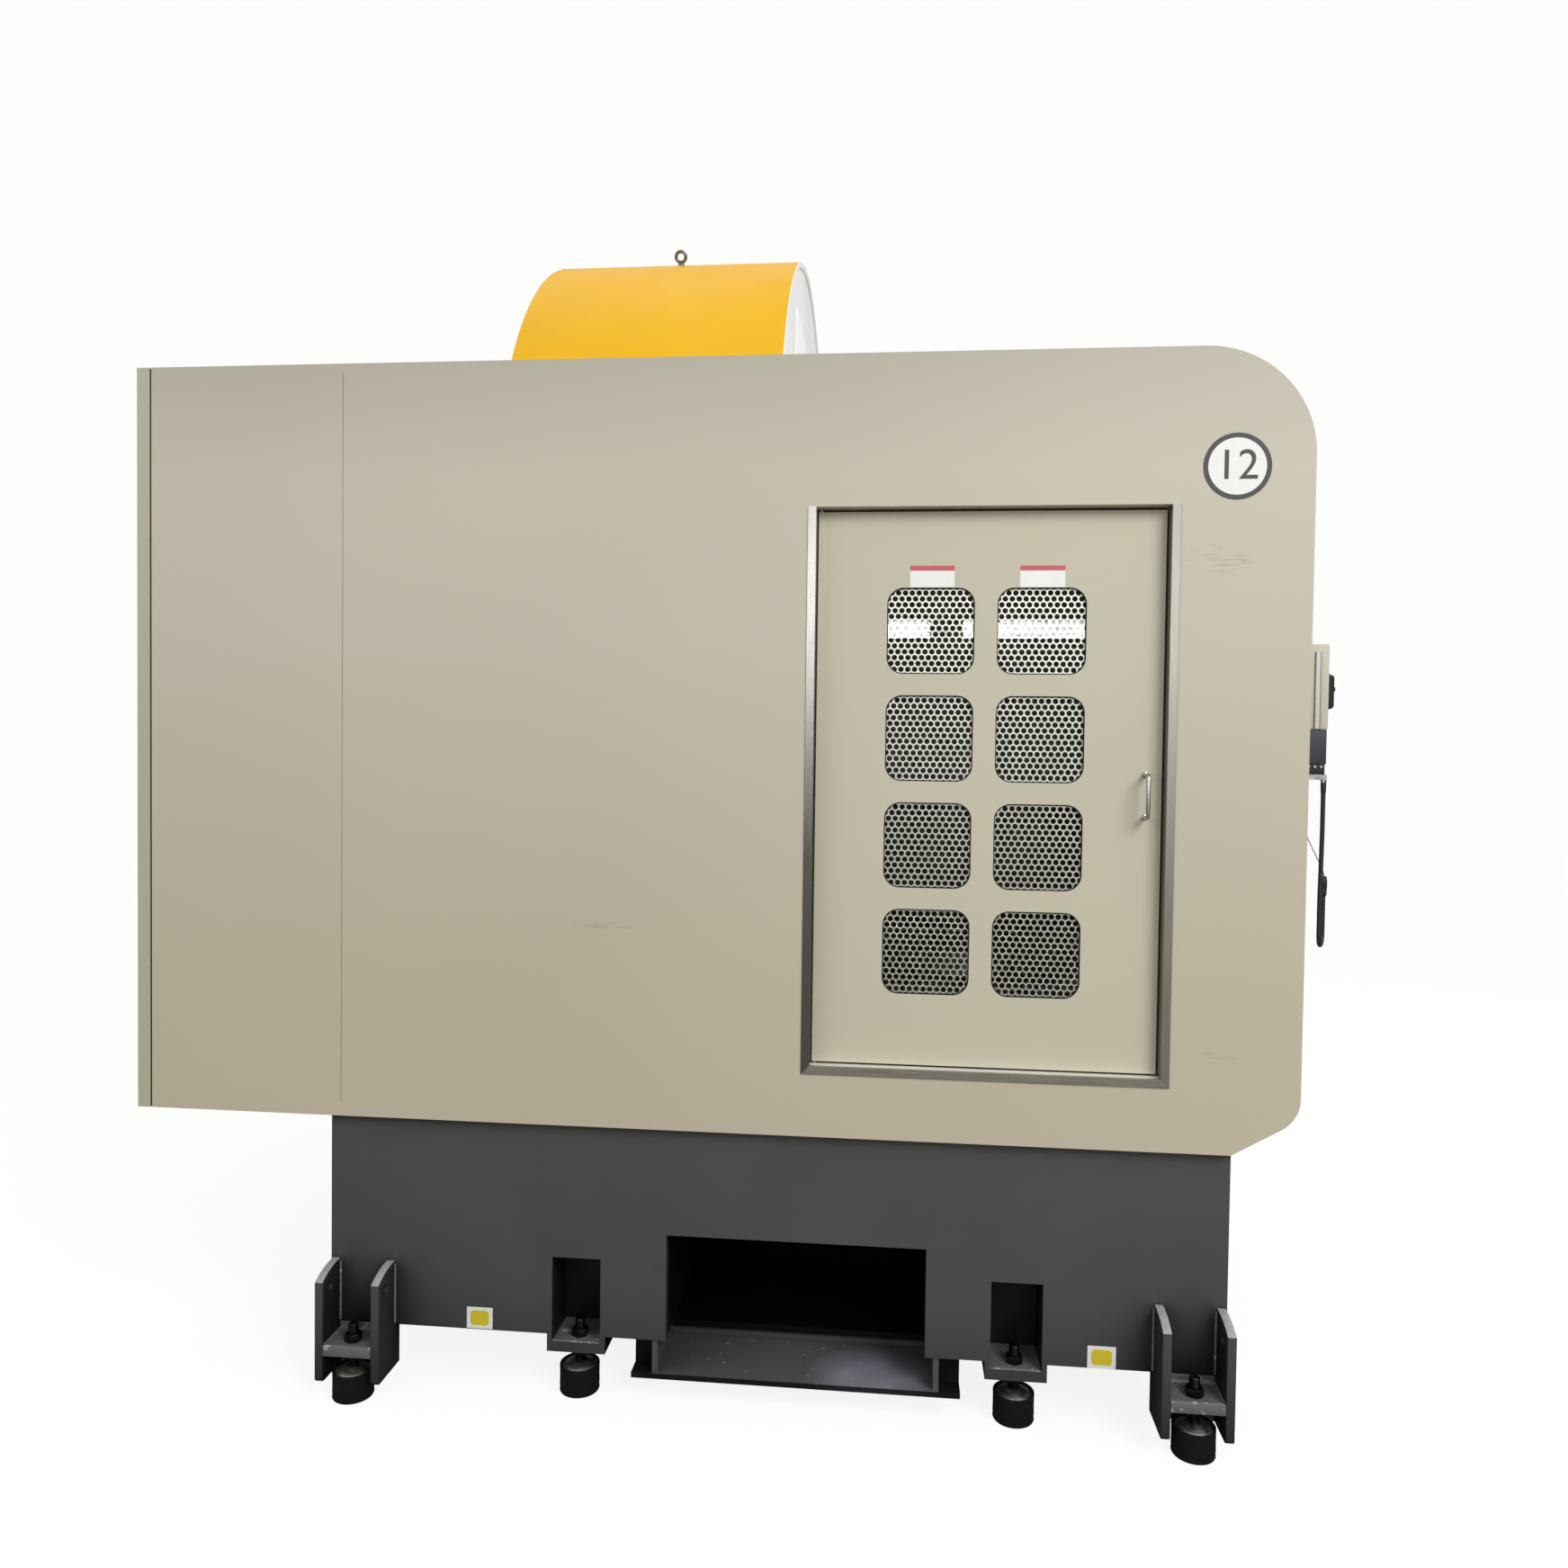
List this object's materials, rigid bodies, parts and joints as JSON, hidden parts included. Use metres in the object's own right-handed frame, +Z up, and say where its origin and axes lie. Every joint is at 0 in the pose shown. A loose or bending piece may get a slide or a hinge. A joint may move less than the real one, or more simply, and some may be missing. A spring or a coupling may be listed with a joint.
{
  "type": "casting riser cutting machine",
  "caption": "Enclosed circular saw machine that cuts risers off castings: beige cabin on a grey base with levelling feet, yellow roof guard, glazed side door",
  "frame": {"origin": "on the floor under the middle of the bounding box", "axes": "X from the rear doors to the loading front, Y across the machine from the glazed side door, Z up"},
  "size_m": [2.84, 2.3578, 3.057],
  "materials": {
    "base_paint": "semi-gloss dark grey machine paint",
    "wall_paint": "fine-textured beige powder coat",
    "roof_paint": "beige powder coat",
    "hood_paint": "semi-gloss yellow paint",
    "hood_end_paint": "pale grey-white paint",
    "stainless": "brushed stainless steel",
    "zinc": "zinc-plated steel",
    "ground_steel": "ground steel",
    "blade_steel": "ground saw steel",
    "black_steel": "black oxide",
    "deck_steel": "grey floor paint",
    "machine_grey": "grey machine paint",
    "motor_paint": "blue-grey motor paint",
    "guard_paint": "orange-yellow guard paint",
    "pulley_iron": "dark phosphated iron",
    "table_iron": "machined cast iron",
    "jaw_steel": "black cast iron",
    "pad_rubber": "matt black rubber",
    "seal_rubber": "black sealing rubber",
    "belt_rubber": "black belt rubber",
    "black_plastic": "black moulded plastic",
    "grey_plastic": "blue-grey moulded plastic",
    "drive_plastic": "pale grey moulded plastic",
    "cable_jacket": "black cable jacket",
    "tie_steel": "dark annealed wire",
    "window_glass": "clear laminated glass",
    "cap_aluminium": "weathered cast aluminium"
  },
  "bodies": {
    "frame": {"bed": "base_paint", "bed_pedestals": "base_paint", "chip_tray": "base_paint", "corner_brackets": "base_paint", "foot_pads": "pad_rubber", "foot_caps": "cap_aluminium", "levelling_screws": "black_steel", "near_wall": "wall_paint", "far_wall": "wall_paint", "roof_panel": "roof_paint", "nose_panel": "wall_paint", "front_panel": "wall_paint", "chin_panel": "wall_paint", "deck_plate": "deck_steel", "bulkhead": "roof_paint", "rear_frame": "roof_paint", "rear_seal": "seal_rubber", "door_pivots": "zinc", "door_trim": "stainless", "door_stop": "roof_paint", "front_tracks": "zinc", "hood": "hood_paint", "hood_ends": "hood_end_paint", "eyebolts": "zinc", "operator_box": "wall_paint", "switch_plate": "black_plastic", "connector_housing": "grey_plastic", "terminal_block": "black_plastic", "cable_plate": "zinc", "control_cable": "cable_jacket", "cable_plug": "black_plastic", "tie_wire": "tie_steel", "drive_units": "drive_plastic", "bridge": "machine_grey", "ways": "machine_grey"},
    "side_door": {"side_door": "wall_paint", "door_glass": "window_glass", "perforated_sheets": "stainless", "door_handle": "stainless"},
    "rear_door_near": {"rear_door_near": "roof_paint"},
    "rear_door_far": {"rear_door_far": "roof_paint"},
    "rear_lock_near": {"rear_lock_near": "zinc"},
    "rear_lock_far": {"rear_lock_far": "zinc"},
    "front_leaf_near": {"front_leaf_near": "wall_paint", "leaf_glass_near": "window_glass"},
    "front_leaf_far": {"front_leaf_far": "wall_paint", "leaf_glass_far": "window_glass"},
    "switch_knob": {"switch_knob": "black_plastic"},
    "saddle": {"saddle": "machine_grey"},
    "ram": {"ram": "machine_grey", "saw_motor": "motor_paint", "drive_belt": "belt_rubber", "blade_guard": "guard_paint"},
    "arbor": {"saw_arbor": "ground_steel", "saw_blade": "blade_steel"},
    "motor_pulley": {"motor_pulley": "pulley_iron"},
    "carriage": {"table_carriage": "machine_grey"},
    "table": {"rotary_table": "table_iron"},
    "jaw_rear": {"clamp_jaw_rear": "jaw_steel"},
    "jaw_front": {"clamp_jaw_front": "jaw_steel"}
  },
  "joints": [
    {"name": "side_door_hinge", "type": "hinge", "parent": "frame", "child": "side_door", "pos_m": [0.2425, -1.064, 1.47], "axis": [0, 0, -1], "range_deg": [0, 90]},
    {"name": "rear_door_near_hinge", "type": "hinge", "parent": "frame", "child": "rear_door_near", "pos_m": [-1.414, -1.05, 1.562], "axis": [0, 0, 1], "range_deg": [0, 100]},
    {"name": "rear_door_far_hinge", "type": "hinge", "parent": "frame", "child": "rear_door_far", "pos_m": [-1.414, 1.05, 1.562], "axis": [0, 0, -1], "range_deg": [0, 100]},
    {"name": "rear_lock_near_turn", "type": "hinge", "parent": "rear_door_near", "child": "rear_lock_near", "pos_m": [-1.404, -0.058, 1.562], "axis": [-1, 0, 0], "range_deg": [0, 90]},
    {"name": "rear_lock_far_turn", "type": "hinge", "parent": "rear_door_far", "child": "rear_lock_far", "pos_m": [-1.404, 0.058, 1.562], "axis": [1, 0, 0], "range_deg": [0, 90]},
    {"name": "front_leaf_near_slide", "type": "slide", "parent": "frame", "child": "front_leaf_near", "axis": [0, -1, 0], "range_m": [0, 0.43]},
    {"name": "front_leaf_far_slide", "type": "slide", "parent": "frame", "child": "front_leaf_far", "axis": [0, 1, 0], "range_m": [0, 0.43]},
    {"name": "switch_turn", "type": "hinge", "parent": "frame", "child": "switch_knob", "pos_m": [1.38, -0.988, 1.706], "axis": [1, 0, 0], "range_deg": [0, 90]},
    {"name": "saddle_slide", "type": "slide", "parent": "frame", "child": "saddle", "axis": [0, 1, 0], "range_m": [-0.43, 0.43]},
    {"name": "ram_slide", "type": "slide", "parent": "saddle", "child": "ram", "axis": [0, 0, -1], "range_m": [0, 0.28]},
    {"name": "arbor_spin", "type": "hinge", "parent": "ram", "child": "arbor", "pos_m": [-0.255, 0, 1.68], "axis": [1, 0, 0], "continuous": true},
    {"name": "motor_pulley_spin", "type": "hinge", "parent": "ram", "child": "motor_pulley", "pos_m": [-0.109, 0, 2.12], "axis": [1, 0, 0], "continuous": true},
    {"name": "carriage_slide", "type": "slide", "parent": "frame", "child": "carriage", "axis": [-1, 0, 0], "range_m": [0, 0.7]},
    {"name": "table_turn", "type": "hinge", "parent": "carriage", "child": "table", "pos_m": [0.62, 0, 0.88], "axis": [0, 0, 1], "continuous": true},
    {"name": "jaw_front_slide", "type": "slide", "parent": "table", "child": "jaw_front", "axis": [-1, 0, 0], "range_m": [0, 0.15]},
    {"name": "jaw_rear_slide", "type": "slide", "parent": "table", "child": "jaw_rear", "axis": [1, 0, 0], "range_m": [0, 0.15]}
  ],
  "couplings": [
    {"joint": "motor_pulley_spin", "follows": "arbor_spin", "ratio": 1.3333},
    {"joint": "jaw_rear_slide", "follows": "jaw_front_slide", "ratio": 1}
  ]
}
